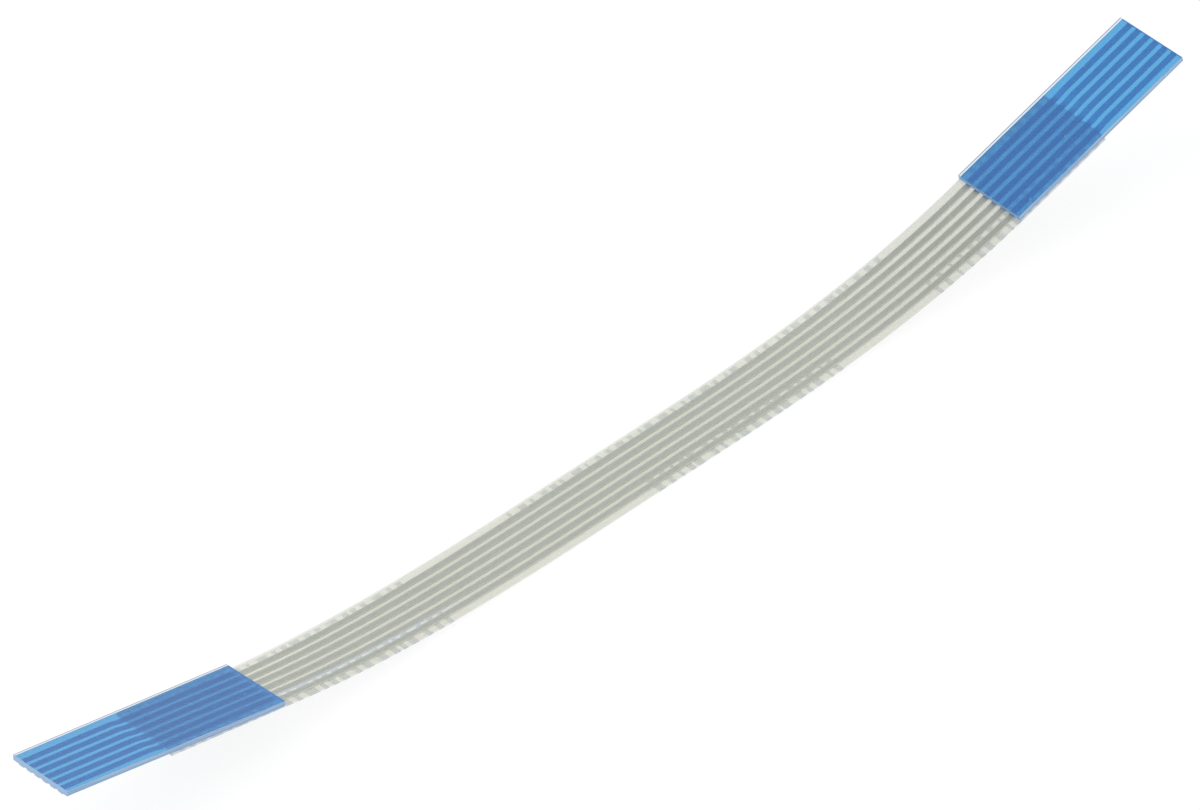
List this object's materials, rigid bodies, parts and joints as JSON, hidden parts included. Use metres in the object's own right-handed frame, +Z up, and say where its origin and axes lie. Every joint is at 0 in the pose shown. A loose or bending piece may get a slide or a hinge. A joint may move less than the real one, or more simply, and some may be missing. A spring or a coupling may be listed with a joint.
{
  "type": "flat flex cable",
  "caption": "Short flat flex cable with parallel tinned conductors between clear films and a blue stiffener at each bare contact end.",
  "frame": {"origin": "middle of the flat stretch of the underside, where the cable lies", "axes": "+X along the cable towards the end that curls up more, +Y across it, +Z up"},
  "size_m": [0.0572, 0.0036, 0.0051],
  "materials": {
    "clear_film": "thin milky clear film, faintly cream, with a soft sheen",
    "tinned_copper": "flat rolled copper with a dull grey tin plating",
    "blue_stiffener": "see-through blue film, smooth, with frosted cut edges"
  },
  "bodies": {
    "root": {"lower_film": "clear_film", "upper_film": "clear_film", "conductor_1": "tinned_copper", "conductor_2": "tinned_copper", "conductor_3": "tinned_copper", "conductor_4": "tinned_copper", "conductor_5": "tinned_copper", "conductor_6": "tinned_copper", "left_stiffener": "blue_stiffener", "right_stiffener": "blue_stiffener"}
  },
  "joints": []
}
